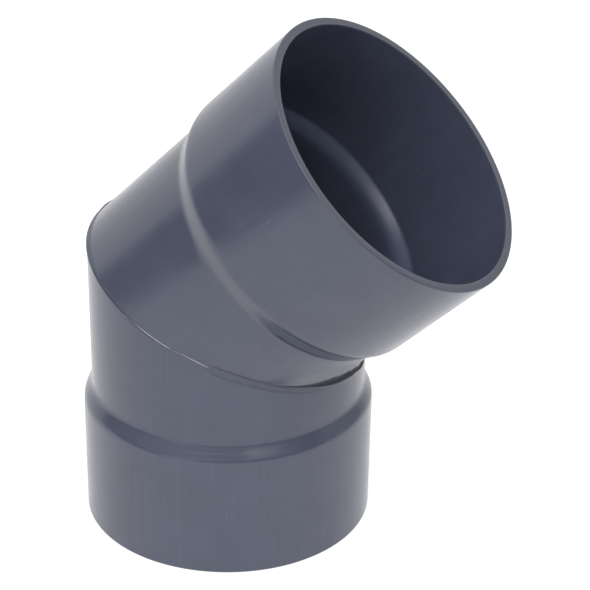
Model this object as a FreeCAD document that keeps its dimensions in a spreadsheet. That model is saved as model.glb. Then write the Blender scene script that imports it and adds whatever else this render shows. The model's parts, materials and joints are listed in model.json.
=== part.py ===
"""Fabricated 45 degree PVC-U pipe elbow with two solvent-cement sockets.

Two lengths of thin-walled 250 mm pipe are belled at one end, mitre-cut at the other and
butt-welded. The weld leaves a bead outside, trimmed low, and a bead inside, left as it rolled.

Row frame: millimetres, +Z up. The origin is the centre of the lower socket's mouth, the
lower leg stands along +Z, and the upper leg leans away towards +X.
"""
import FreeCAD, Part
import Sketcher
import math
import os

Vector = FreeCAD.Vector

# Driving dimensions, in millimetres and degrees. Each one is a cell of the sheet "Sizes".
SIZES = [
    ("bend_angle", 45.0),              # between the two legs' axes
    ("neck_outer_radius", 125.0),      # nominal 250 pipe
    ("neck_inner_radius", 117.3),      # wall of 7.7
    ("bell_outer_radius", 132.7),
    ("socket_radius", 125.2),          # slides over a 250 pipe
    ("socket_lead_in", 0.5),           # broken edge inside each mouth
    ("rim_chamfer", 0.8),              # broken edge outside each mouth
    ("inner_shoulder_lag", 1.8),       # inner shoulder starts this much deeper than the outer one
    ("inner_shoulder_length", 12.0),   # the same in both legs, where the former's nose was
    ("socket_end_fillet", 3.0),        # between the socket and the inner shoulder
    ("neck_bore_fillet", 14.0),        # between the inner shoulder and the neck's bore
    ("lower_reach", 220.0),            # mouth to the point where the axes meet
    ("lower_bell_length", 115.0),      # mouth to the start of the shoulder
    ("lower_shoulder_length", 12.0),
    ("lower_shoulder_fillet", 5.0),
    ("upper_reach", 225.0),
    ("upper_bell_length", 114.0),
    ("upper_shoulder_length", 19.0),
    ("upper_shoulder_fillet", 16.0),
    ("outer_bead_height", 1.5),        # scraped low
    ("outer_bead_half_width", 4.0),    # either side of the mitre plane
    ("inner_bead_height", 3.0),        # left as it rolled
    ("inner_bead_half_width", 4.0),
    ("cutter_margin", 60.0),           # how far every cutting shape runs past what it cuts
]

# Half the length of the shapes that cut and bound things around the mitre, as an expression.
CUTTER_REACH = "(Sizes.neck_outer_radius + Sizes.cutter_margin)"

# Sets the axis of a turn whose angle a sheet expression then gives.
TURNED_ABOUT_Y = FreeCAD.Placement(Vector(), FreeCAD.Rotation(Vector(0, 1, 0), 1))


def make_sheet(doc):
    """Put the driving dimensions in a spreadsheet and return it."""
    sheet = doc.addObject("Spreadsheet::Sheet", "Sizes")
    for row, (alias, value) in enumerate(SIZES, start=1):
        sheet.set(f"A{row}", alias)
        sheet.set(f"B{row}", str(value))
        sheet.setAlias(f"B{row}", alias)
    doc.recompute()
    return sheet


def origin_plane(body, role):
    """The body's own origin plane with this role, such as XY_Plane."""
    return next(feature for feature in body.Origin.OriginFeatures if feature.Role == role)


def add_sketch(body, name, role):
    """An empty sketch on one of the body's origin planes."""
    sketch = body.newObject("Sketcher::SketchObject", name)
    sketch.AttachmentSupport = [(origin_plane(body, role), "")]
    sketch.MapMode = "FlatFace"
    return sketch


def evaluate(sketch, expression):
    """The number that a sheet expression stands for now."""
    return float(sketch.evalExpression(expression))


def bind(sketch, constraint, expression):
    """Add a driving dimension to a sketch and tie it to the sheet."""
    index = sketch.addConstraint(constraint)
    sketch.setExpression(f"Constraints[{index}]", expression)


def place_point(sketch, geometry, end, x_text, y_text):
    """Fix one point of a sketch by its distances from the sketch's origin."""
    x = evaluate(sketch, x_text)
    y = evaluate(sketch, y_text)
    bind(sketch, Sketcher.Constraint("DistanceX", -1, 1, geometry, end, x), x_text)
    if y:
        bind(sketch, Sketcher.Constraint("DistanceY", -1, 1, geometry, end, y), y_text)
    else:
        sketch.addConstraint(Sketcher.Constraint("PointOnObject", geometry, end, -1))


def round_corner(sketch, before, here, after, radius):
    """Add the arc that rounds the corner here, and return its index and its two tangent points.

    The last value tells whether the outline turns left, so that the arc runs with it.
    """
    back = (before - here).normalize()
    ahead = (after - here).normalize()
    half = back.getAngle(ahead) / 2
    centre = here + (back + ahead).normalize() * (radius / math.sin(half))
    first = here + back * (radius / math.tan(half))
    last = here + ahead * (radius / math.tan(half))
    turns_left = ahead.cross(back).z > 0
    angles = [math.atan2(point.y - centre.y, point.x - centre.x) for point in (first, last)]
    if not turns_left:
        angles.reverse()
    circle = Part.Circle(centre, Vector(0, 0, 1), radius)
    arc = sketch.addGeometry(Part.ArcOfCircle(circle, *angles), False)
    return arc, first, last, turns_left


def closed_outline(sketch, corners):
    """Draw a closed outline through corners, each one (x, y, radius) in sheet expressions.

    A corner whose radius is None stays sharp.
    """
    points = [Vector(evaluate(sketch, x), evaluate(sketch, y), 0) for x, y, _ in corners]
    count = len(points)
    starts = list(points)
    ends = points[1:] + points[:1]
    arcs = {}
    for corner, (_, _, radius_text) in enumerate(corners):
        if radius_text:
            after = points[(corner + 1) % count]
            radius = evaluate(sketch, radius_text)
            arc, first, last, turns_left = round_corner(
                sketch, points[corner - 1], points[corner], after, radius)
            ends[corner - 1] = first
            starts[corner] = last
            arcs[corner] = (arc, turns_left)
    lines = [sketch.addGeometry(Part.LineSegment(*run), False) for run in zip(starts, ends)]

    for corner, (x_text, y_text, radius_text) in enumerate(corners):
        line_in = lines[corner - 1]
        line_out = lines[corner]
        if corner not in arcs:
            sketch.addConstraint(Sketcher.Constraint("Coincident", line_in, 2, line_out, 1))
            place_point(sketch, line_out, 1, x_text, y_text)
            continue
        arc, turns_left = arcs[corner]
        arc_start, arc_end = (1, 2) if turns_left else (2, 1)
        sketch.addConstraint(Sketcher.Constraint("Tangent", line_in, 2, arc, arc_start))
        sketch.addConstraint(Sketcher.Constraint("Tangent", line_out, 1, arc, arc_end))
        radius = evaluate(sketch, radius_text)
        bind(sketch, Sketcher.Constraint("Radius", arc, radius), radius_text)
        tip = sketch.addGeometry(Part.Point(points[corner]), True)
        sketch.addConstraint(Sketcher.Constraint("PointOnObject", tip, 1, line_in))
        sketch.addConstraint(Sketcher.Constraint("PointOnObject", tip, 1, line_out))
        place_point(sketch, tip, 1, x_text, y_text)


def make_leg(doc, name, side):
    """One leg of the elbow: socket, shoulder and neck, cut off at the mitre.

    The leg's own frame has the centre of the socket's mouth as its origin and +Z running
    into the leg, and its neck is shortest on the +X side.
    """
    body = doc.addObject("PartDesign::Body", name)
    body.Label = name
    reach = f"Sizes.{side}_reach"
    bell_end = f"Sizes.{side}_bell_length"
    neck_start = f"{bell_end} + Sizes.{side}_shoulder_length"
    socket_end = f"{bell_end} + Sizes.inner_shoulder_lag"
    blank_end = f"{reach} + Sizes.cutter_margin"
    fillet = f"Sizes.{side}_shoulder_fillet"

    profile = add_sketch(body, f"{name}_profile", "XZ_Plane")
    closed_outline(profile, [
        ("Sizes.socket_radius + Sizes.socket_lead_in", "0", None),
        ("Sizes.bell_outer_radius - Sizes.rim_chamfer", "0", None),
        ("Sizes.bell_outer_radius", "Sizes.rim_chamfer", None),
        ("Sizes.bell_outer_radius", bell_end, fillet),
        ("Sizes.neck_outer_radius", neck_start, fillet),
        ("Sizes.neck_outer_radius", blank_end, None),
        ("Sizes.neck_inner_radius", blank_end, None),
        ("Sizes.neck_inner_radius", f"{socket_end} + Sizes.inner_shoulder_length",
         "Sizes.neck_bore_fillet"),
        ("Sizes.socket_radius", socket_end, "Sizes.socket_end_fillet"),
        ("Sizes.socket_radius", "Sizes.socket_lead_in", None),
    ])
    blank = body.newObject("PartDesign::Revolution", f"{name}_blank")
    blank.Profile = profile
    blank.ReferenceAxis = (profile, ["V_Axis"])
    blank.Angle = 360
    doc.recompute()

    mitre = add_sketch(body, f"{name}_mitre", "XY_Plane")
    mitre.AttachmentOffset = TURNED_ABOUT_Y
    mitre.setExpression("AttachmentOffset.Base.z", reach)
    mitre.setExpression("AttachmentOffset.Rotation.Angle", "Sizes.bend_angle / 2 * 1 deg")
    mitre.addGeometry(Part.Circle(Vector(), Vector(0, 0, 1), evaluate(mitre, CUTTER_REACH)), False)
    mitre.addConstraint(Sketcher.Constraint("Coincident", 0, 3, -1, 1))
    bind(mitre, Sketcher.Constraint("Radius", 0, evaluate(mitre, CUTTER_REACH)), CUTTER_REACH)
    cut = body.newObject("PartDesign::Pocket", f"{name}_mitre_cut")
    cut.Profile = mitre
    cut.Type = "ThroughAll"
    cut.Reversed = True
    doc.recompute()
    assert cut.Shape.Volume < blank.Shape.Volume - 1, f"{name}: the mitre cut removed nothing"
    return body


def lean_from_meeting_point(item, angle, along, across):
    """Place an object near the point where the axes meet, leaning towards +X by angle.

    Its origin sits this far along its own Z direction and across its own X direction from
    that point. All three are sheet expressions.
    """
    item.Placement = TURNED_ABOUT_Y
    item.setExpression("Placement.Rotation.Angle", angle)
    item.setExpression("Placement.Base.x", f"sin({angle}) * {along} + cos({angle}) * {across}")
    item.setExpression(
        "Placement.Base.z",
        f"Sizes.lower_reach + cos({angle}) * {along} - sin({angle}) * {across}")


def make_half_bead(doc, name, radii, lean, half_width, slab_start):
    """The part of a weld bead on one side of the mitre plane.

    It is a ring around a leg's axis, which leans by lean, kept where it lies inside a slab
    against the mitre plane. radii are the ring's outer and inner radius.
    """
    tubes = []
    for role, radius in zip(("outside", "inside"), radii):
        tube = doc.addObject("Part::Cylinder", f"{name}_{role}")
        tube.setExpression("Radius", radius)
        tube.setExpression("Height", f"2 * {CUTTER_REACH}")
        lean_from_meeting_point(tube, lean, along=f"-{CUTTER_REACH}", across="0")
        tubes.append(tube)
    ring = doc.addObject("Part::Cut", f"{name}_ring")
    ring.Base, ring.Tool = tubes

    slab = doc.addObject("Part::Box", f"{name}_slab")
    slab.setExpression("Length", f"2 * {CUTTER_REACH}")
    slab.setExpression("Width", f"2 * {CUTTER_REACH}")
    slab.setExpression("Height", half_width)
    mitre_tilt = "(Sizes.bend_angle / 2 * 1 deg)"
    lean_from_meeting_point(slab, mitre_tilt, along=slab_start, across=f"-{CUTTER_REACH}")
    slab.setExpression("Placement.Base.y", f"-{CUTTER_REACH}")

    half_bead = doc.addObject("Part::Common", name)
    half_bead.Base = ring
    half_bead.Tool = slab
    return half_bead


def make_bead(doc, name, outer, inner, half_width):
    """A weld bead that follows the mitre: two mitred rings, joined on the mitre plane."""
    bead = doc.addObject("Part::Fuse", name)
    bead.Label = name
    bead.Base = make_half_bead(
        doc, f"{name}_lower_half", (outer, inner), "0 deg", half_width, slab_start=f"-{half_width}")
    bead.Tool = make_half_bead(
        doc, f"{name}_upper_half", (outer, inner), "(Sizes.bend_angle * 1 deg)", half_width,
        slab_start="0")
    doc.recompute()
    return bead


def check(doc, pieces):
    """Stop if any object failed to build or any sub-part is not one valid solid."""
    for item in doc.Objects:
        failed = {"Invalid", "Error"} & set(item.State)
        assert not failed, f"{item.Name} is {item.State}"
    for piece in pieces:
        shape = piece.Shape
        assert not shape.isNull() and shape.isValid(), f"{piece.Label} has a bad shape"
        assert len(shape.Solids) == 1, f"{piece.Label} is {len(shape.Solids)} solids"


def main():
    doc = FreeCAD.newDocument("pvc_elbow")
    sheet = make_sheet(doc)

    lower = make_leg(doc, "lower_socket_leg", "lower")
    upper = make_leg(doc, "upper_socket_leg", "upper")
    bend = math.radians(sheet.get("bend_angle"))
    upper_axis = Vector(math.sin(bend), 0, math.cos(bend))
    meeting_point = Vector(0, 0, sheet.get("lower_reach"))
    mirror_axis = Vector(math.cos(bend / 2), 0, -math.sin(bend / 2))
    upper.Placement = FreeCAD.Placement(
        meeting_point + upper_axis * sheet.get("upper_reach"),
        FreeCAD.Rotation(mirror_axis, 180))

    outer_bead = make_bead(
        doc, "outer_weld_bead",
        outer="Sizes.neck_outer_radius + Sizes.outer_bead_height",
        inner="Sizes.neck_outer_radius",
        half_width="Sizes.outer_bead_half_width")
    inner_bead = make_bead(
        doc, "inner_weld_bead",
        outer="Sizes.neck_inner_radius",
        inner="Sizes.neck_inner_radius - Sizes.inner_bead_height",
        half_width="Sizes.inner_bead_half_width")
    doc.recompute()

    pieces = [lower, upper, outer_bead, inner_bead]
    check(doc, pieces)
    os.makedirs("parts", exist_ok=True)
    for piece in pieces:
        piece.Shape.exportStep(f"parts/{piece.Label}.step")
        print(f"{piece.Label}: {piece.Shape.Volume / 1000:.1f} cm3")


main()
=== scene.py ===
"""Looks of a fabricated 45 degree pipe elbow: two belled legs and the weld that joins them.

Everything is in metres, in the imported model's frame: the origin is the centre of the lower
socket's mouth, +Z runs up the lower leg, and the upper leg leans towards +X. Each of the four
CAD nodes is replaced by a finer closed mesh. The legs keep their sizes, and the outer bead
reaches further along the pipes than its plain CAD band does.

A leg is modelled in its own frame, with the mouth at z = 0 and the neck running up. Angles
round a leg start at its short side (the inside of the bend) and are given in degrees. Near the
weld, a point is given by its angle, by how far it is past the mitre along the pipes (negative
on the lower leg), and by its height above the pipes' surface.
"""
import json
import math

import bpy
import numpy as np
from mathutils import Matrix, Vector


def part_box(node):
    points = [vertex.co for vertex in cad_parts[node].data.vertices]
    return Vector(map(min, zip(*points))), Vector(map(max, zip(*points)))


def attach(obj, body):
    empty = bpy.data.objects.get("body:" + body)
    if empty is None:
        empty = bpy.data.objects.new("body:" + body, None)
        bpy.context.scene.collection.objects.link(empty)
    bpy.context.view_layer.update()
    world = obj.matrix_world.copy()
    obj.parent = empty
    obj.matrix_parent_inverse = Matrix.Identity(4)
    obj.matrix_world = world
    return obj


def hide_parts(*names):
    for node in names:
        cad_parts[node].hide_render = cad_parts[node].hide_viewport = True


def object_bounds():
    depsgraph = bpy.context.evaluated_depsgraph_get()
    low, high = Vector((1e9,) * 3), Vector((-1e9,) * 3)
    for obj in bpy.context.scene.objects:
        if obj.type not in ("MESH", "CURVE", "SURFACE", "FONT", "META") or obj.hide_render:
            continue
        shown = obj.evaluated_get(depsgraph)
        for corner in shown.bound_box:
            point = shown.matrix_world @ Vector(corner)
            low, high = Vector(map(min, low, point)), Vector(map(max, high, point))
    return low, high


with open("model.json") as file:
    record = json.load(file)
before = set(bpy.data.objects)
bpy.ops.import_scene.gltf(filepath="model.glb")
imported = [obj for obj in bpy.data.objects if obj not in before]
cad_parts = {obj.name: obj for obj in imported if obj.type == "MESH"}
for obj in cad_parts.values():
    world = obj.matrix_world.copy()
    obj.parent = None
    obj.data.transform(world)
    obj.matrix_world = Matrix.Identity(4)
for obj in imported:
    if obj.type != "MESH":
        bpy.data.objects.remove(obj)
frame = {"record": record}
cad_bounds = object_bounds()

MM = 0.001

# The fitting's sizes. Those that the frame gives are read from it.
MOUNTS = {mount["name"]: mount for mount in frame["record"]["mounts"]}
SOCKET_RADIUS = MOUNTS["lower_socket"]["dims"]["r_mm"] * MM
BELL_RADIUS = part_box("lower_socket_leg")[1].y
NECK_RADIUS = 125.0 * MM
NECK_BORE_RADIUS = 117.3 * MM
LEAD_IN = MOUNTS["lower_socket"]["pos_m"][2]
RIM_CHAMFER = 0.8 * MM
INNER_SHOULDER_LAG = 1.8 * MM       # from the bell's end up to the inner shoulder's start
INNER_SHOULDER_LENGTH = 12 * MM
INNER_SOFTNESS = (0.5 * MM, 2.4 * MM)       # at the socket's end and at the neck's bore
UPPER_AXIS = Vector(MOUNTS["upper_socket"]["axis"])
HALF_BEND = UPPER_AXIS.angle(Vector((0, 0, 1))) / 2

# Each leg's lengths, and how its forming was uneven. A wander is (size, degrees) and softness
# runs through (degrees, millimetres). The two lines along the shoulder's edges, the painted
# shade in the creases beside them and the ripples are each (centre, half width, strength), with
# the first two in degrees and strength 0 for none. The mouth leans outwards on one side by up to
# twice its lean.
LEGS = {
    "lower_socket_leg": {
        "reach": 220 * MM, "bell": 115 * MM, "shoulder": 12 * MM,
        "bell_wander": (1.4 * MM, 80), "neck_wander": (1.5 * MM, 45),
        "softness": [(-150, 2.4), (-120, 1.6), (-95, 0.8), (-60, 0.6), (-20, 1.3), (90, 1.2)],
        "bell_line": (-75, 20, 0.0), "foot_line": (-74, 15, 0.2 * MM), "dirt": (0, 0, 0.0),
        "ripples": (-80, 16, 0.07 * MM), "mouth_lean": 0.0, "seed": 3,
    },
    "upper_socket_leg": {
        "reach": 225 * MM, "bell": 114 * MM, "shoulder": 19 * MM,
        "bell_wander": (0.6 * MM, 40), "neck_wander": (0.7 * MM, -70),
        "softness": [(-150, 1.7), (-85, 1.7), (-60, 1.2), (-48, 0.6), (10, 0.5), (90, 1.0)],
        "bell_line": (-40, 20, -0.3 * MM), "foot_line": (-40, 18, -0.3 * MM), "dirt": (-40, 21, 0.7),
        "ripples": (0, 0, 0.0), "mouth_lean": 0.3 * MM, "seed": 8,
    },
}
WELD_CENTRE = Vector((0, 0, LEGS["lower_socket_leg"]["reach"]))

# Directions in the mitre plane's frame: through the plane, and along it towards the short side.
THROUGH_MITRE = np.array([math.sin(HALF_BEND), 0, math.cos(HALF_BEND)])
ALONG_MITRE = np.array([math.cos(HALF_BEND), 0, -math.sin(HALF_BEND)])


# ---------------------------------------------------------------- helpers for shape

def angles_round(count):
    """This many angles round a pipe, in radians, from 0."""
    return np.arange(count) * (2 * math.pi / count)


def smooth_step(value):
    """0 below 0, 1 above 1, and an S-shaped rise between."""
    share = np.clip(value, 0, 1)
    return share * share * (3 - 2 * share)


def window(angle, centre, half, soft):
    """1 within half degrees of centre, fading to 0 over soft degrees more, round the pipe."""
    away = np.abs((np.degrees(angle) - centre + 180) % 360 - 180)
    return smooth_step((half + soft - away) / soft)


def around(angle, knots):
    """A value that runs smoothly round the pipe through knots of (degrees, value)."""
    knots = sorted(((degrees % 360), value) for degrees, value in knots)
    first, last = knots[0], knots[-1]
    knots = [(last[0] - 360, last[1])] + knots + [(first[0] + 360, first[1])]
    at = np.degrees(angle) % 360
    result = np.zeros_like(at)
    for (start, low), (end, high) in zip(knots, knots[1:]):
        inside = (at >= start) & (at < end)
        eased = smooth_step((at - start) / (end - start))
        result = np.where(inside, low + (high - low) * eased, result)
    return result


def ripple(angle, seed, waves, fade=0.0):
    """Unevenness round the pipe, about -1 to 1: sines of these numbers of waves per turn."""
    random = np.random.default_rng(seed)
    total = np.zeros_like(angle)
    scale = 0.0
    for wave in range(waves[0], waves[1]):
        strength = wave ** -fade * random.uniform(0.4, 1.0)
        total = total + strength * np.sin(wave * angle + random.uniform(0, 2 * math.pi))
        scale += strength ** 2
    return total / math.sqrt(scale)


def bump(distance, width):
    """A bell-shaped hump, 1 where distance is 0."""
    return np.exp(-(distance / width) ** 2)


def soft_ramp(value, softness):
    """0 below 0 and value above it, with the corner rounded over about this length."""
    return softness * np.logaddexp(0, value / softness)


def shoulder_share(height, start, end, start_soft, end_soft):
    """How far up a step this height is: 0 below its start, 1 above its end, with soft corners."""
    rise = soft_ramp(height - start, start_soft) - soft_ramp(height - end, end_soft)
    return rise / (end - start)


def round_outline(corners, arc_steps):
    """Points of an open outline through corners of (radius, height, rounding)."""
    points = [np.array(corners[0][:2])]
    for before, here, after in zip(corners, corners[1:], corners[2:]):
        tip = np.array(here[:2])
        back = np.array(before[:2]) - tip
        ahead = np.array(after[:2]) - tip
        back /= np.linalg.norm(back)
        ahead /= np.linalg.norm(ahead)
        half = math.acos(np.clip(back @ ahead, -1, 1)) / 2
        middle = (back + ahead) / np.linalg.norm(back + ahead)
        centre = tip + middle * (here[2] / math.sin(half))
        start = tip + back * (here[2] / math.tan(half)) - centre
        end = tip + ahead * (here[2] / math.tan(half)) - centre
        turn = math.pi - 2 * half
        for step in range(arc_steps + 1):
            share = step / arc_steps
            spoke = (math.sin((1 - share) * turn) * start + math.sin(share * turn) * end)
            points.append(centre + spoke / math.sin(turn))
    points.append(np.array(corners[-1][:2]))
    return points


def skin(name, rings):
    """A closed mesh whose rows of points, rings[row, column], join up both ways."""
    rows, columns = rings.shape[:2]
    row, column = np.meshgrid(np.arange(rows), np.arange(columns), indexing="ij")
    next_row = (row + 1) % rows
    next_column = (column + 1) % columns
    corners = [(row, column), (row, next_column), (next_row, next_column), (next_row, column)]
    faces = np.stack([r * columns + c for r, c in corners], axis=-1).reshape(-1, 4)
    mesh = bpy.data.meshes.new(name)
    mesh.from_pydata(rings.reshape(-1, 3).tolist(), [], faces.tolist())
    mesh.polygons.foreach_set("use_smooth", [True] * len(mesh.polygons))
    mesh.validate()
    piece = bpy.data.objects.new(name, mesh)
    bpy.context.scene.collection.objects.link(piece)
    return piece


def store(piece, name, values):
    """Keep one number per point on the mesh, for the material to read."""
    layer = piece.data.attributes.new(name, "FLOAT", "POINT")
    layer.data.foreach_set("value", np.ascontiguousarray(values, dtype=np.float32).ravel())


def store_place(piece):
    """Keep each point's place in the leg's own frame, for the material to read."""
    places = np.zeros(len(piece.data.vertices) * 3, np.float32)
    piece.data.vertices.foreach_get("co", places)
    layer = piece.data.attributes.new("own_place", "FLOAT_VECTOR", "POINT")
    layer.data.foreach_set("vector", places)


# ---------------------------------------------------------------- the weld

CORNER_SOFTENING = 1.2 * MM
CUT_BACK = 1.3 * MM             # depth of the groove that the outer bead fills
BEAD_ROOT = 0.6 * MM            # how far below the groove's floor the bead's underside lies
BEAD_SINK = 0.01 * MM           # puts the bead's edges just below the wall's surface
UNDERSIDE_WIDTH = 0.96          # against the top's
OUTER_BEAD_GRID = (45, 1536)    # rows across the top, and points round
INNER_BEAD_COLUMNS = 768

# How far the outer bead reaches past the mitre on each leg, in millimetres.
BEAD_ON_UPPER = [
    (-165, 6.8), (-142, 6.0), (-122, 2.6), (-100, 2.2), (-84, 2.8), (-74, 4.6), (-66, 6.0),
    (-58, 5.4), (-46, 4.6), (-34, 5.0), (-26, 7.2), (-18, 10.4), (-11, 9.4), (-2, 4.0), (30, 3.0),
    (70, 4.2), (115, 3.2), (150, 6.0),
]
BEAD_ON_LOWER = [
    (-165, 1.2), (-130, 1.2), (-100, 2.4), (-74, 2.8), (-64, 5.0), (-54, 5.4), (-42, 6.4),
    (-30, 7.8), (-18, 8.0), (10, 12.5), (38, 7.0), (60, 4.4), (100, 3.4), (150, 1.6),
]

# The stretches of weld that were trimmed alike: centre, half width and fade, in degrees. The two
# dressed stretches overlap, and the band is twice as high where both are whole.
DRESSED = [(-172, 36, 10), (165, 15, 10)]
# the stretch of the dressed band painted darkest, as a thin dark outline
DRESSED_DARKEST = (-176, 8, 10)
CREASED = [(-118, 8, 10), (75, 30, 15)]
RIDGED = [(-94, 9, 6), (-74, 5, 4), (127, 14, 10)]
SCORED = (-45, 22, 5)
SCORED_FAINTLY = (44, 12, 10)
LUMPY = (2, 33, 13)
RUBBED_AND_PAINTED_LIGHT = (-6, 26, 14)

DRESSED_HEIGHT = 0.9 * MM       # of the low rounded band on the long side
CREASE_PAST = 0.9 * MM          # from the mitre, with a low lip on its other side
CREASE_DEPTH = 0.7 * MM
CREASE_LIP = 0.15 * MM

# The two lines that the scraper scored next to the ridge, past the mitre.
UPPER_SCORE = [(-68, 4.5), (-61, 4.1), (-49, 1.4), (-42, 0.0), (-30, -0.4), (20, -1.0), (60, 1.6)]
LOWER_SCORE = [(-68, -3.7), (-55, -3.9), (-42, -5.0), (-28, -6.5), (20, -6.0), (60, -2.8)]
UPPER_SCORE_DEPTH = 0.35 * MM
LOWER_SCORE_DEPTH = 0.15 * MM

# The ridge on the flanks: how far past the mitre it lies, and how strong a highlight is painted along
# its thin lip.
RIDGE_CENTRE = [
    (-124, 0.6), (-100, 0.4), (-90, 0.5), (-83, 0.6), (-79, 2.4), (-75, 2.1), (-69, 1.1),
    (0, 0.6), (120, 0.4),
]
RIDGE_SLOPE = math.tan(math.radians(41))
RIDGE_HALF_WIDTH = 0.8 * MM
RIDGE_WOBBLE = 0.08 * MM
RIDGE_GUTTER = 0.2 * MM         # depth of the scraped line along the ridge's lower side
LIP_PAINTED_HIGHLIGHT = [
    (-108, 0.0), (-98, 0.15), (-90, 0.22), (-83, 0.18), (-80, 0.35), (-75, 0.9), (-71, 0.8),
    (-68, 0.0), (118, 0.0), (130, 0.4), (140, 0.0),
]

# The lump left in the corner: where it starts and ends past the mitre, and its height.
LUMP_FROM = [(-42, -0.6), (-33, -1.0), (-28, -1.6), (-21, -3.2), (-15, -4.8), (-8, -5.9),
             (0, -7.6), (10, -11.5), (22, -10.0), (40, -3.0)]
LUMP_TO = [(-42, 2.4), (-33, 3.2), (-27, 4.8), (-22, 7.0), (-17, 9.4), (-12, 8.0), (-6, 1.4),
           (0, -1.8), (9, -6.0), (22, -5.0), (40, 0.2)]
LUMP_HEIGHT = 1.2 * MM
LUMP_FULL_WIDTH = 6 * MM        # a narrower lump is lower
TEETH_PER_TURN = (150, 190)

# The inner bead's two rolled lips.
ROLL_RADIUS = 1.55 * MM
ROLL_OFFSET = 1.95 * MM         # from the mitre to each roll's middle
ROLL_RISE = 1.42 * MM           # from the bore's wall to each roll's middle
ROOT_WIDTH = 2.2 * MM           # each way from the mitre, where the rolls join inside the wall
ROOT_DEPTH = 0.6 * MM


def bead_reach(angle, on_upper):
    """How far the outer bead covers one leg's end, measured along the pipe."""
    return around(angle, BEAD_ON_UPPER if on_upper else BEAD_ON_LOWER) * MM


def seam_points(angle, past, height, radius):
    """Points near the weld, with the corner between the two pipes softened."""
    x = (radius + height) * np.cos(angle)
    y = (radius + height) * np.sin(angle)
    z = WELD_CENTRE.z - x * math.tan(HALF_BEND)
    away = np.abs(past)
    soft = (past ** 2 + CORNER_SOFTENING ** 2) / (2 * CORNER_SOFTENING)
    away = np.where(away < CORNER_SOFTENING, soft, away)
    return (np.stack([x, y, z], axis=-1)
            + (past * math.cos(HALF_BEND))[..., None] * THROUGH_MITRE
            + (away * math.sin(HALF_BEND))[..., None] * ALONG_MITRE)


def roof(distance, half_width):
    """The height of a ridge with two flat faces and a slightly worn top."""
    inside = half_width - np.sqrt(distance ** 2 + (0.12 * half_width) ** 2)
    return RIDGE_SLOPE * soft_ramp(inside, 0.06 * half_width)


def stretches(angle, parts):
    """The windows of these stretches, added up."""
    return sum(window(angle, *part) for part in parts)


def lump_shape(angle, past):
    """The corner lump's cover, height and painted shade. The shade lightens towards its torn, toothed
    top.
    """
    teeth = np.clip(np.abs(ripple(angle, 5, TEETH_PER_TURN)), 0, 1)
    start = around(angle, LUMP_FROM) * MM
    end = around(angle, LUMP_TO) * MM
    width = end - start
    tips = end - 0.25 * width * teeth
    cover = smooth_step((past - start) / (0.8 * MM)) * smooth_step((tips - past) / (1.6 * MM))
    cover = cover * window(angle, *LUMPY)
    torn = smooth_step((past - start) / width * 1.2 - 0.35)
    height = cover * LUMP_HEIGHT * smooth_step(width / LUMP_FULL_WIDTH) * (1 - 0.8 * torn)
    dark = cover * (1 - torn * (0.3 + 0.55 * teeth))
    return cover, height, dark


def outer_bead_shape(angle, share):
    """The outer bead's place past the mitre and height, how matt it is, and its painted shade (dark)
    and painted highlight (white).

    share runs from 0 at the bead's edge on the lower leg to 1 at its edge on the upper one.
    The weld was trimmed by hand: dressed to a low band on the long side, left as a narrow shiny
    ridge on the flanks, creased or scraped and scored in between, and left as a torn lump in the
    corner on the short side. Its colour carries painted shade in the crease, the score lines and
    the lump, a band painted darker below the mitre, a painted highlight on the ridge's lip and
    painted light beside the corner.
    """
    lower = bead_reach(angle, False)
    upper = bead_reach(angle, True)
    past = -lower + (lower + upper) * share
    from_edge = np.minimum(past + lower, upper - past)

    dressed = stretches(angle, DRESSED)
    creased = stretches(angle, CREASED)
    ridged = np.clip(stretches(angle, RIDGED), 0, 1)
    scored = np.clip(window(angle, *SCORED) + 0.6 * window(angle, *SCORED_FAINTLY), 0, 1)
    lump, lump_height, lump_dark = lump_shape(angle, past)
    # painted light beside the corner, where the bead is also dulled
    rubbed = window(angle, *RUBBED_AND_PAINTED_LIGHT) * smooth_step(past / MM) * (1 - lump)

    band = smooth_step((upper - past) / (6 * MM)) * smooth_step((past + lower) / (1.2 * MM))
    below_mitre = smooth_step((0.6 * MM - past) / (0.8 * MM))
    crease = bump(past - CREASE_PAST, 0.7 * MM)
    lip = bump(past + 0.6 * MM, 0.5 * MM)
    from_ridge = past - around(angle, RIDGE_CENTRE) * MM
    ridge = roof(from_ridge, RIDGE_HALF_WIDTH + RIDGE_WOBBLE * ripple(angle, 21, (5, 40), 0.3))
    gutter = bump(from_ridge + 1.3 * MM, 0.5 * MM)
    above = bump(past - around(angle, UPPER_SCORE) * MM, 1.1 * MM)
    below = bump(past - around(angle, LOWER_SCORE) * MM, 0.8 * MM)

    height = dressed * DRESSED_HEIGHT * band
    height = height + creased * (CREASE_LIP * lip - CREASE_DEPTH * crease)
    height = height + ridged * (ridge - RIDGE_GUTTER * gutter)
    height = height - scored * (UPPER_SCORE_DEPTH * above + LOWER_SCORE_DEPTH * below)
    height = (height + lump_height) * smooth_step(from_edge / (0.25 * MM))
    matt = np.clip(0.4 * dressed + 0.5 * creased + 0.4 * scored + lump + 0.5 * rubbed, 0, 1)
    # dark: painted darker on the dressed band below the mitre and along the outline stretch, and
    # painted shade in the crease, the score lines and the corner lump
    dark = 0.5 * dressed * below_mitre + 0.4 * window(angle, *DRESSED_DARKEST)
    dark = dark + 0.7 * creased * crease + scored * (0.06 + 0.5 * above + 0.2 * below)
    dark = np.clip(dark + lump_dark, 0, 1)
    # white: a painted highlight along the ridge's thin lip, plus painted light beside the corner
    white = around(angle, LIP_PAINTED_HIGHLIGHT) * bump(from_ridge, 0.4 * MM) + 0.23 * rubbed
    return past, height, matt, dark, white


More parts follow.
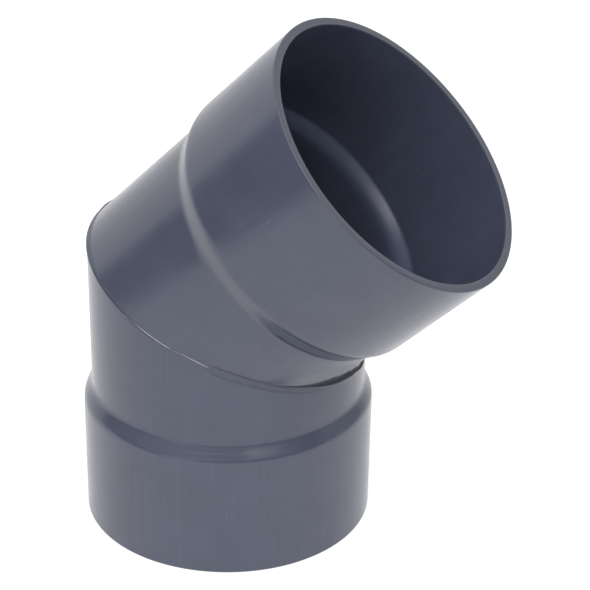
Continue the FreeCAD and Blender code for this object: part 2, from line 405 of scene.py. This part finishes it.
def make_outer_bead():
    """The outer bead: a closed band that fills the joint's scraped groove."""
    rows, columns = OUTER_BEAD_GRID
    share = np.linspace(0, 1, rows)
    angle_grid = np.broadcast_to(angles_round(columns), OUTER_BEAD_GRID)
    past, height, matt, dark, white = outer_bead_shape(angle_grid, share[:, None])
    under = slice(None, None, -4)       # back across the underside, on every fourth row
    depth = np.full_like(past[under], -CUT_BACK - BEAD_ROOT)
    piece = skin("outer_bead", np.concatenate([
        seam_points(angle_grid, past, height - BEAD_SINK, NECK_RADIUS),
        seam_points(angle_grid[under], past[under] * UNDERSIDE_WIDTH, depth, NECK_RADIUS)]))
    for name, values in (("matt", matt), ("dark", dark), ("white", white)):
        store(piece, name, np.concatenate([values, values[under]]))
    return piece


def make_inner_bead():
    """The inner bead: the two rolled lips that hot-plate welding leaves, untouched."""
    angle = angles_round(INNER_BEAD_COLUMNS)
    radius = ROLL_RADIUS * (1 + 0.07 * ripple(angle, 31, (3, 30), 0.4))
    offset = ROLL_OFFSET * (1 + 0.05 * ripple(angle, 32, (2, 18), 0.3))
    rows = []
    for side, turns in ((-1, range(215, 25, -15)), (1, range(155, -36, -15))):
        for turn in turns:
            past = side * offset + radius * math.cos(math.radians(turn))
            height = -(ROLL_RISE + radius * math.sin(math.radians(turn)))
            rows.append(seam_points(angle, past, height, NECK_BORE_RADIUS))
    depth = np.full_like(angle, ROOT_DEPTH)
    for past in (ROOT_WIDTH, -ROOT_WIDTH):
        rows.append(seam_points(angle, np.full_like(angle, past), depth, NECK_BORE_RADIUS))
    return skin("inner_bead", np.stack(rows)[::-1])


# ---------------------------------------------------------------- the legs

LEG_COLUMNS = 480
EDGE_STEPS = (5, 3, 1.6, 0.8, 0.35, 0.1, 0.0)    # millimetres from the bead's edge
COARSE_STEP = 6 * MM
FINE_STEP = 0.8 * MM
FINE_LEAD = {"inside": 4 * MM, "outside": 8 * MM}   # fine steps below the shoulder's start
NECK_STEPS = 16
MOUTH_TOP = 3 * MM              # height of the mouth's own highest rows
WALL_BOTTOM = 8 * MM            # height of the wall's lowest row
FOOT_GAP = 9 * MM               # from the shoulder up to where the neck's own rows start
EDGE_BREAK = (0.06 * MM, 0.03 * MM)     # in and up, where the neck's wall turns into the groove
GROOVE_SLANT = 0.3 * MM         # how far the groove's side leans towards the mitre
OVALITY = 0.06 * MM
UNEVENNESS = 0.05 * MM
DIE_LINES = 0.006 * MM
LEAN_TURN = math.radians(120)
SHOULDER_FADE = 14              # degrees over which the shoulder's lines and painted crease shade die out
LINE_GAP = 0.6 * MM             # from the shoulder's two edges out to the lines along them
LINE_WIDTH = 0.9 * MM
CREASE_SHADE_WIDTH = 2 * MM
RIPPLE_FADE = 18                # degrees
RIPPLE_LENGTH = 4.2 * MM        # between the fine waves that forming left on the shoulder
# The inside near the inner shoulder: duller where the former stretched it, and painted lighter and
# bluer there as a painted highlight.
FORMED_HIGHLIGHT_MIDDLE = 8 * MM          # above the inner shoulder's start
FORMED_HIGHLIGHT_WIDTH = 12 * MM
RUBBED_AND_PAINTED_LIGHT_LENGTH = 45 * MM         # the wall beside the corner, dulled when the weld was trimmed; its colour there is painted light


def heights_up(bottom, fine_start, fine_end):
    """Heights from a leg's mouth to its neck: wide steps first, then fine ones."""
    coarse = np.linspace(bottom, fine_start, math.ceil((fine_start - bottom) / COARSE_STEP))
    fine = np.linspace(fine_start, fine_end, math.ceil((fine_end - fine_start) / FINE_STEP))
    return np.concatenate([coarse, fine[1:]])


def shoulder_ends(angle, leg):
    """The heights where the shoulder starts and ends. They stray a little round the leg."""
    bell_size, bell_turn = leg["bell_wander"]
    neck_size, neck_turn = leg["neck_wander"]
    start = leg["bell"] - bell_size * np.cos(2 * (angle + math.radians(bell_turn)))
    end = leg["bell"] + leg["shoulder"] - neck_size * np.cos(2 * (angle + math.radians(neck_turn)))
    return start, end


def outside_radius(angle, height, leg):
    """The leg's outer radius: bell, shoulder and neck."""
    start, end = shoulder_ends(angle, leg)
    soft = around(angle, leg["softness"]) * MM
    share = shoulder_share(height, start, end, soft, soft)
    radius = BELL_RADIUS + (NECK_RADIUS - BELL_RADIUS) * share
    for edge, (centre, half, rise) in ((start - LINE_GAP, leg["bell_line"]),
                                       (end + LINE_GAP, leg["foot_line"])):
        line = window(angle, centre, half, SHOULDER_FADE) * bump(height - edge, LINE_WIDTH)
        radius = radius + rise * line
    centre, half, rise = leg["ripples"]
    waves = np.sin((height - start) * (2 * math.pi / RIPPLE_LENGTH)) * 4 * share * (1 - share)
    return radius + rise * window(angle, centre, half, RIPPLE_FADE) * waves


def inside_radius(angle, height, leg):
    """The leg's inner radius: socket, inner shoulder and the neck's bore."""
    start = leg["bell"] + INNER_SHOULDER_LAG
    share = shoulder_share(height, start, start + INNER_SHOULDER_LENGTH, *INNER_SOFTNESS)
    lean = leg["mouth_lean"] * (1 + np.cos(angle + LEAN_TURN))
    lean = lean * smooth_step(1 - height / leg["bell"])
    return SOCKET_RADIUS + (NECK_BORE_RADIUS - SOCKET_RADIUS) * share + lean


def wall_drift(angle, height, leg):
    """How far the wall lies inside its true round: ovality, and the die's faint lengthwise lines."""
    seed = leg["seed"]
    oval = -OVALITY * (1 - np.cos(2 * angle - math.radians(100)))
    uneven = UNEVENNESS * (ripple(angle, seed, (3, 9), 0.5) - 1)
    lines = DIE_LINES * (ripple(angle, seed + 1, (20, 90)) - 1)
    neck = smooth_step((height - leg["bell"]) / leg["shoulder"])
    near_weld = smooth_step((leg["reach"] - height) / (60 * MM))
    return (oval + uneven) * (1 - neck * (1 - 0.5 * near_weld)) + lines


def mouth_rows(angle, leg):
    """Rows of (radius, height) round the mouth: the socket's edge, the cut face, the outer edge."""
    crisp = 0.15 * MM
    outline = round_outline([
        (SOCKET_RADIUS, MOUTH_TOP, 0),
        (SOCKET_RADIUS, LEAD_IN, crisp),
        (SOCKET_RADIUS + LEAD_IN, 0, crisp),
        (BELL_RADIUS - RIM_CHAMFER, 0, crisp),
        (BELL_RADIUS, RIM_CHAMFER, crisp),
        (BELL_RADIUS, MOUTH_TOP, 0),
    ], arc_steps=3)
    lean = inside_radius(angle, 0, leg) - SOCKET_RADIUS
    rows = []
    for radius, height in outline:
        inner_share = (BELL_RADIUS - radius) / (BELL_RADIUS - SOCKET_RADIUS)
        rows.append((radius + lean * inner_share, np.full_like(angle, height)))
    return rows


def make_leg(name, node):
    """One leg: a closed skin round the wall, cut back under the outer bead."""
    leg = LEGS[node]
    on_upper = node == "upper_socket_leg"
    side = -1 if on_upper else 1      # the upper leg is turned over into place, swapping its sides
    angle = side * angles_round(LEG_COLUMNS)
    foot = leg["bell"] + leg["shoulder"] + FOOT_GAP
    inner_start = leg["bell"] + INNER_SHOULDER_LAG

    def mitre_height(radius):
        return leg["reach"] - radius * np.cos(angle) * math.tan(HALF_BEND)

    bore = np.full_like(angle, NECK_BORE_RADIUS)
    rows = []
    for step in range(NECK_STEPS, 0, -1):
        rows.append((bore, foot + (mitre_height(bore) - foot) * step / NECK_STEPS))
    for height in heights_up(WALL_BOTTOM, inner_start - FINE_LEAD["inside"], foot)[::-1]:
        rows.append((inside_radius(angle, height, leg), np.full_like(angle, height)))
    rows += mouth_rows(angle, leg)
    inside_rows = len(rows)
    for height in heights_up(WALL_BOTTOM, leg["bell"] - FINE_LEAD["outside"], foot):
        rows.append((outside_radius(angle, height, leg), np.full_like(angle, height)))

    reach = bead_reach(angle, on_upper)
    neck = outside_radius(angle, foot + 1 * MM, leg)
    last_step = mitre_height(neck) - reach - EDGE_STEPS[0] * MM
    for step in range(1, NECK_STEPS + 1):
        rows.append((neck, foot + (last_step - foot) * step / NECK_STEPS))
    for gap in EDGE_STEPS[1:]:
        rows.append((neck, mitre_height(neck) - reach - gap * MM))
    groove = neck - CUT_BACK
    rows.append((neck - EDGE_BREAK[0], mitre_height(neck) - reach + EDGE_BREAK[1]))
    rows.append((groove, mitre_height(groove) - reach + GROOVE_SLANT))
    rows.append((groove, mitre_height(groove)))

    radius = np.stack([row[0] for row in rows])
    height = np.stack([row[1] for row in rows])
    radius = radius + wall_drift(np.broadcast_to(angle, radius.shape), height, leg)
    rings = np.stack([radius * np.cos(angle), side * radius * np.sin(angle), height], axis=-1)
    piece = skin(name, rings)
    store_place(piece)

    outside = np.arange(len(rows))[:, None] >= inside_rows
    start, end = shoulder_ends(angle, leg)
    # Painted shade: darker bands just inside the shoulder's two edges, where shade falls in its
    # creases.
    centre, half, strength = leg["dirt"]
    lines = (bump(height - start - CREASE_SHADE_WIDTH, CREASE_SHADE_WIDTH)
             + bump(height - end + CREASE_SHADE_WIDTH, CREASE_SHADE_WIDTH))
    dirt = strength * window(angle, centre, half, SHOULDER_FADE) * lines
    near = smooth_step((height - mitre_height(neck) + reach + RUBBED_AND_PAINTED_LIGHT_LENGTH) / RUBBED_AND_PAINTED_LIGHT_LENGTH)
    # the inside near the inner shoulder, dulled and given a painted highlight
    formed = bump(height - inner_start - FORMED_HIGHLIGHT_MIDDLE, FORMED_HIGHLIGHT_WIDTH)
    store(piece, "dirt", dirt * outside)
    store(piece, "cut_face", height < 0.95 * RIM_CHAMFER)       # up to just under the chamfer's top
    store(piece, "formed", np.where(outside, 0, formed))
    # painted light on the upper leg's outside beside the weld's corner, which is also dulled
    store(piece, "rubbed", on_upper * outside * near * window(angle, *RUBBED_AND_PAINTED_LIGHT))
    if on_upper:
        mouth = Vector(MOUNTS["upper_socket"]["pos_m"]) + UPPER_AXIS * LEAD_IN
        turn = Matrix.Rotation(math.pi, 4, Vector(ALONG_MITRE))
        piece.data.transform(Matrix.Translation(mouth) @ turn)
    return piece


# ---------------------------------------------------------------- materials

PLASTIC_IOR = 1.54
WALL_RELIEF = 0.03 * MM
WELD_RELIEF = 0.12 * MM
WALL_DARK = (0.060, 0.068, 0.106, 1)
WALL_LIGHT = (0.069, 0.077, 0.119, 1)
SCUFF_COLOUR = (0.17, 0.18, 0.20, 1)
CUT_DARK = (0.038, 0.043, 0.071, 1)
CUT_LIGHT = (0.094, 0.100, 0.130, 1)
PAINTED_SHADE_COLOUR = (0.010, 0.012, 0.020, 1)
PAINTED_HIGHLIGHT_COLOUR = (0.60, 0.61, 0.68, 1)
PAINTED_LIGHT_COLOUR = (0.18, 0.185, 0.215, 1)
INNER_HIGHLIGHT_COLOUR = (0.068, 0.080, 0.130, 1)


def new_material(name):
    """An empty node material, as its node tree and its shader."""
    material = bpy.data.materials.new(name)
    material.use_nodes = True
    tree = material.node_tree
    tree.nodes.clear()
    output = tree.nodes.new("ShaderNodeOutputMaterial")
    shader = tree.nodes.new("ShaderNodeBsdfPrincipled")
    tree.links.new(shader.outputs["BSDF"], output.inputs["Surface"])
    return material, tree, shader


def join(tree, source, socket):
    """Give a node's input a value: another node's output, or a plain number or colour."""
    if isinstance(source, bpy.types.NodeSocket):
        tree.links.new(source, socket)
    else:
        socket.default_value = source


def attribute(tree, name, output="Fac"):
    """A value that the mesh keeps for each point."""
    node = tree.nodes.new("ShaderNodeAttribute")
    node.attribute_name = name
    return node.outputs[output]


def calculate(tree, operation, *values):
    """A Math node's result."""
    node = tree.nodes.new("ShaderNodeMath")
    node.operation = operation
    for value, socket in zip(values, node.inputs):
        join(tree, value, socket)
    return node.outputs["Value"]


def remap(tree, value, start, end, low=0.0, high=1.0, smooth=False):
    """A value's range from start to end, stretched to run from low to high and held there."""
    node = tree.nodes.new("ShaderNodeMapRange")
    node.interpolation_type = "SMOOTHSTEP" if smooth else "LINEAR"
    for key, number in zip(("From Min", "From Max", "To Min", "To Max"), (start, end, low, high)):
        node.inputs[key].default_value = number
    tree.links.new(value, node.inputs["Value"])
    return node.outputs["Result"]


def mix_colours(tree, share, first, second):
    """A colour between two, by share."""
    node = tree.nodes.new("ShaderNodeMix")
    node.data_type = "RGBA"
    colours = [socket for socket in node.inputs if socket.type == "RGBA"]
    join(tree, share, node.inputs["Factor"])
    join(tree, first, colours[0])
    join(tree, second, colours[1])
    return next(socket for socket in node.outputs if socket.type == "RGBA")


def scaled_place(tree, place, factors):
    """A place, stretched or squeezed along each axis."""
    node = tree.nodes.new("ShaderNodeVectorMath")
    node.operation = "MULTIPLY"
    tree.links.new(place, node.inputs[0])
    node.inputs[1].default_value = factors
    return node.outputs["Vector"]


def noise(tree, place, per_metre, detail):
    """Cloudy noise, mostly between 0.3 and 0.7, with this many clouds to the metre."""
    node = tree.nodes.new("ShaderNodeTexNoise")
    tree.links.new(place, node.inputs["Vector"])
    node.inputs["Scale"].default_value = per_metre
    node.inputs["Detail"].default_value = detail
    return node.outputs["Fac"]


def radius_of(tree, place):
    """How far a place is from the Z axis."""
    flat = scaled_place(tree, place, (1, 1, 0))
    length = tree.nodes.new("ShaderNodeVectorMath")
    length.operation = "LENGTH"
    tree.links.new(flat, length.inputs[0])
    return length.outputs["Value"]


def add_bump(tree, shader, height, distance):
    """Fine relief: height 0 to 1 stands for this distance."""
    node = tree.nodes.new("ShaderNodeBump")
    node.inputs["Distance"].default_value = distance
    tree.links.new(height, node.inputs["Height"])
    tree.links.new(node.outputs["Normal"], shader.inputs["Normal"])


def wall_material():
    """Extruded slate-grey plastic, with a matt, ringed face where the pipe was sawn. Its colour also
    carries painted shade along the shoulder's creases, a painted highlight inside the shoulder and
    at the sawn face's inner edge, and painted light beside the weld's corner.
    """
    material, tree, shader = new_material("slate_pipe_wall")
    place = attribute(tree, "own_place", "Vector")
    cut = attribute(tree, "cut_face")
    radius = radius_of(tree, place)

    # Extrusion: streaks that run the pipe's length, over a soft mottle and a few scuffs.
    streaks = noise(tree, scaled_place(tree, place, (1, 1, 0.02)), 420, 4)
    mottle = noise(tree, place, 28, 4)
    peel = noise(tree, place, 330, 2)
    shade = calculate(tree, "MULTIPLY_ADD", streaks, 0.45, calculate(tree, "MULTIPLY", mottle, 0.55))
    colour = mix_colours(tree, remap(tree, shade, 0.38, 0.62), WALL_DARK, WALL_LIGHT)
    worn = remap(tree, noise(tree, place, 9, 2), 0.50, 0.66)
    scratch = remap(tree, noise(tree, scaled_place(tree, place, (1, 1, 0.05)), 600, 2), 0.62, 0.74)
    scuffs = calculate(tree, "MULTIPLY", calculate(tree, "MULTIPLY", scratch, worn), 0.15)
    colour = mix_colours(tree, scuffs, colour, SCUFF_COLOUR)
    # painted highlight on the inner shoulder and the socket wall beside it
    colour = mix_colours(tree, attribute(tree, "formed"), colour, INNER_HIGHLIGHT_COLOUR)
    # painted light beside the weld's corner
    colour = mix_colours(tree, attribute(tree, "rubbed"), colour, PAINTED_LIGHT_COLOUR)
    # painted shade along the shoulder's creases
    colour = mix_colours(tree, attribute(tree, "dirt"), colour, PAINTED_SHADE_COLOUR)

    # The sawn face: rings left by the trimming tool, with a painted highlight that makes its inner
    # edge a little paler.
    around_axis = tree.nodes.new("ShaderNodeCombineXYZ")
    tree.links.new(radius, around_axis.inputs["X"])
    rings = noise(tree, around_axis.outputs["Vector"], 1500, 2)
    grain = noise(tree, place, 800, 2)
    tone = calculate(tree, "MULTIPLY_ADD", rings, 0.6, calculate(tree, "MULTIPLY", grain, 0.4))
    tone = remap(tree, tone, 0.3, 0.7, 0.1, 0.8)
    # painted highlight at the inner edge
    pale = remap(tree, radius, SOCKET_RADIUS + 0.8 * MM, SOCKET_RADIUS + 2.4 * MM, 0.3, 0.0)
    tone = calculate(tree, "ADD", tone, pale)
    face = mix_colours(tree, tone, CUT_DARK, CUT_LIGHT)
    join(tree, mix_colours(tree, cut, colour, face), shader.inputs["Base Color"])

    rough = remap(tree, mottle, 0.3, 0.7, 0.17, 0.23)
    rough = calculate(tree, "MULTIPLY_ADD", scuffs, 0.5, rough)
    rough = calculate(tree, "MULTIPLY_ADD", attribute(tree, "rubbed"), 0.3, rough)
    rough = calculate(tree, "MULTIPLY_ADD", attribute(tree, "formed"), 0.15, rough)
    join(tree, calculate(tree, "MULTIPLY_ADD", cut, 0.25, rough), shader.inputs["Roughness"])
    shader.inputs["IOR"].default_value = PLASTIC_IOR

    skin_relief = calculate(tree, "MULTIPLY_ADD", streaks, 0.7, calculate(tree, "MULTIPLY", peel, 0.3))
    skin_relief = calculate(tree, "MULTIPLY_ADD", scuffs, -0.3, skin_relief)
    cut_relief = calculate(tree, "MULTIPLY", tone, 0.8)
    relief = calculate(tree, "MULTIPLY_ADD", cut, cut_relief, skin_relief)
    add_bump(tree, shader, relief, WALL_RELIEF)
    return material


def weld_material():
    """The same plastic, melted and scraped at the joint, with painted shade and darkening on it, a
    painted highlight on the ridge's lip, and painted light beside the corner.
    """
    material, tree, shader = new_material("slate_weld")
    place = tree.nodes.new("ShaderNodeTexCoord").outputs["Object"]
    matt = attribute(tree, "matt")
    dark = attribute(tree, "dark")
    drag = noise(tree, place, 1300, 3)
    clouds = noise(tree, place, 140, 3)
    colour = mix_colours(tree, remap(tree, clouds, 0.35, 0.65), WALL_DARK, WALL_LIGHT)
    # painted shade, broken up by the drag marks
    painted_shade = calculate(tree, "MULTIPLY", dark, remap(tree, drag, 0.3, 0.7, 0.8, 1.0))
    colour = mix_colours(tree, painted_shade, colour, PAINTED_SHADE_COLOUR)
    # painted highlight and painted light, from the mesh's white values
    colour = mix_colours(tree, attribute(tree, "white"), colour, PAINTED_HIGHLIGHT_COLOUR)
    join(tree, colour, shader.inputs["Base Color"])
    rough = remap(tree, matt, 0.0, 1.0, 0.05, 0.85)
    rough = calculate(tree, "MULTIPLY_ADD", clouds, 0.05, rough)
    join(tree, rough, shader.inputs["Roughness"])
    shader.inputs["IOR"].default_value = PLASTIC_IOR
    relief = calculate(tree, "MULTIPLY", drag, matt)
    add_bump(tree, shader, relief, WELD_RELIEF)
    return material


# ---------------------------------------------------------------- stage

def direction(azimuth, elevation):
    """A unit vector; azimuth is in degrees from +X towards +Y."""
    around_z, up = math.radians(azimuth), math.radians(elevation)
    return Vector((math.cos(around_z) * math.cos(up), math.sin(around_z) * math.cos(up),
                   math.sin(up)))


SHEET_TURN = math.radians(-12)
SHEET_COLOUR = (0.45, 0.45, 0.45, 1)
SHEET_GLOW = 0.76       # the sheet also glows by itself, so it shows next to no shadow
SHEET_REACH = {"right": 1.0, "left": 4.0, "front": 1.5, "back": 5.0}


def make_floor():
    """A pale sheet that fills the picture behind the fitting, and glows except beneath it."""
    reach = SHEET_REACH
    corners = [(-reach["left"], -reach["front"], 0), (reach["right"], -reach["front"], 0),
               (reach["right"], reach["back"], 0), (-reach["left"], reach["back"], 0)]
    mesh = bpy.data.meshes.new("floor")
    mesh.from_pydata(corners, [], [(0, 1, 2, 3)])
    mesh.transform(Matrix.Rotation(SHEET_TURN, 4, "Z"))
    floor = bpy.data.objects.new("floor", mesh)
    bpy.context.scene.collection.objects.link(floor)
    material, tree, shader = new_material("pale_floor")
    shader.inputs["Base Color"].default_value = SHEET_COLOUR
    shader.inputs["Roughness"].default_value = 0.7
    shader.inputs["Emission Color"].default_value = (1, 1, 1, 1)
    place = tree.nodes.new("ShaderNodeTexCoord").outputs["Object"]
    radius = radius_of(tree, place)
    glow = remap(tree, radius, BELL_RADIUS - 2 * MM, BELL_RADIUS, 0.0, SHEET_GLOW)
    tree.links.new(glow, shader.inputs["Emission Strength"])
    mesh.materials.append(material)


LIT_POINT = Vector((0.06, 0, 0.24))     # the middle of the fitting, which the lights face

# Each soft light: azimuth, elevation, width, height, brightness and distance. The key in front
# has a brighter middle, the side light is wide, and the overhead one is large.
SOFTBOXES = {
    "key": (270, 47, 1.25, 1.0, 1.45, 2.3),
    "key_middle": (276, 47, 1.15, 0.55, 4.6, 2.25),
    "side": (342, 47, 2.2, 1.0, 2.3, 2.3),
    "overhead": (270, 88, 2.3, 2.3, 1.55, 2.3),
    "low_fill": (262, 6, 1.0, 0.5, 1.4, 2.3),
}


def add_softbox(name, azimuth, elevation, width, height, radiance, distance):
    """A soft rectangular light that faces the fitting."""
    data = bpy.data.lights.new(name, "AREA")
    data.shape = "RECTANGLE"
    data.size = width
    data.size_y = height
    data.energy = math.pi * width * height * radiance
    light = bpy.data.objects.new(name, data)
    out = direction(azimuth, elevation)
    light.location = LIT_POINT + out * distance
    light.rotation_euler = out.to_track_quat("Z", "Y").to_euler()
    bpy.context.scene.collection.objects.link(light)


# Parts of the room: an azimuth, and how squarely to face it, as cosines, from edge to full.
WHITE_WALL = (102, -0.03, 0.12)
BRIGHT_PART = (150, -0.05, 0.15)
DIM_SHARE = 0.5             # brightness of the rest of the wall against its bright part
WALL_TOP = (0.5, 0.75)      # height of a unit line of sight, from full brightness to none
WALL_GLOW = 1.0
HAZES = [(292, 0.25, 0.7, 0.5), (212, 0.7, 0.92, 0.25)]     # the same three, and brightness
HAZE_FOOT = (0.12, 0.3)     # height of a unit line of sight, from none to full brightness
ROOM_GLOW = 0.16


def facing_share(tree, sight, azimuth, edge, full):
    """1 where the room is seen towards this azimuth, fading to 0 away from it."""
    node = tree.nodes.new("ShaderNodeVectorMath")
    node.operation = "DOT_PRODUCT"
    node.inputs[1].default_value = direction(azimuth, 0)
    tree.links.new(sight, node.inputs[0])
    return remap(tree, node.outputs["Value"], edge, full, smooth=True)


def add_world():
    """A dim studio: a white wall behind and to the left, and pale haze in front and at the left."""
    world = bpy.data.worlds.new("studio")
    bpy.context.scene.world = world
    world.use_nodes = True
    tree = world.node_tree
    background = tree.nodes["Background"]
    background.inputs["Color"].default_value = (1, 1, 1, 1)
    sight = tree.nodes.new("ShaderNodeTexCoord").outputs["Generated"]
    apart = tree.nodes.new("ShaderNodeSeparateXYZ")
    tree.links.new(sight, apart.inputs[0])
    evenness = remap(tree, facing_share(tree, sight, *BRIGHT_PART), 0.0, 1.0, DIM_SHARE, 1.0)
    wall = calculate(tree, "MULTIPLY", facing_share(tree, sight, *WHITE_WALL), evenness)
    below_top = remap(tree, apart.outputs["Z"], *WALL_TOP, 1.0, 0.0, smooth=True)
    above_foot = remap(tree, apart.outputs["Z"], *HAZE_FOOT, smooth=True)
    glow = remap(tree, calculate(tree, "MULTIPLY", wall, below_top), 0.0, 1.0, ROOM_GLOW, WALL_GLOW)
    for azimuth, edge, full, strength in HAZES:
        haze = facing_share(tree, sight, azimuth, edge, full)
        haze = calculate(tree, "MULTIPLY", haze, above_foot)
        glow = calculate(tree, "MULTIPLY_ADD", haze, strength, glow)
    tree.links.new(glow, background.inputs["Strength"])


VIEW_AZIMUTH = math.radians(26.367)
VIEW_ELEVATION = math.radians(26.392)
VIEW_DISTANCE = 1.563
VIEW_TILT = math.radians(1.053)
AIM_FROM_CENTRE = Vector((7.8, -1.75, -10.2)) * MM
LENS = 108.3


def add_camera():
    """A long lens, looking down on the fitting, whose open mouth is turned to the camera."""
    low, high = (Vector(corner) for corner in cad_bounds)
    aim = (low + high) / 2 + AIM_FROM_CENTRE
    ahead = Vector((-math.sin(VIEW_AZIMUTH) * math.cos(VIEW_ELEVATION),
                    math.cos(VIEW_AZIMUTH) * math.cos(VIEW_ELEVATION),
                    -math.sin(VIEW_ELEVATION)))
    level = ahead.cross(Vector((0, 0, 1))).normalized()
    right = math.cos(VIEW_TILT) * level + math.sin(VIEW_TILT) * level.cross(ahead)
    turn = Matrix((right, right.cross(ahead), -ahead)).transposed()
    data = bpy.data.cameras.new("camera")
    data.lens = LENS
    camera = bpy.data.objects.new("camera", data)
    camera.matrix_world = Matrix.Translation(aim - ahead * VIEW_DISTANCE) @ turn.to_4x4()
    bpy.context.scene.collection.objects.link(camera)
    bpy.context.scene.camera = camera


# ---------------------------------------------------------------- assembly

def finish_piece(piece, node, material):
    """Give a piece its material and its place in the frame, and hide the CAD node that it stands for.
    """
    piece.data.materials.append(material)
    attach(piece, "root")
    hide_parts(node)


wall = wall_material()
weld = weld_material()
finish_piece(make_leg("lower_leg", "lower_socket_leg"), "lower_socket_leg", wall)
finish_piece(make_leg("upper_leg", "upper_socket_leg"), "upper_socket_leg", wall)
finish_piece(make_outer_bead(), "outer_weld_bead", weld)
finish_piece(make_inner_bead(), "inner_weld_bead", weld)

bpy.context.scene.view_settings.view_transform = "Standard"
make_floor()
add_world()
for light_name, placing in SOFTBOXES.items():
    add_softbox(light_name, *placing)
add_camera()
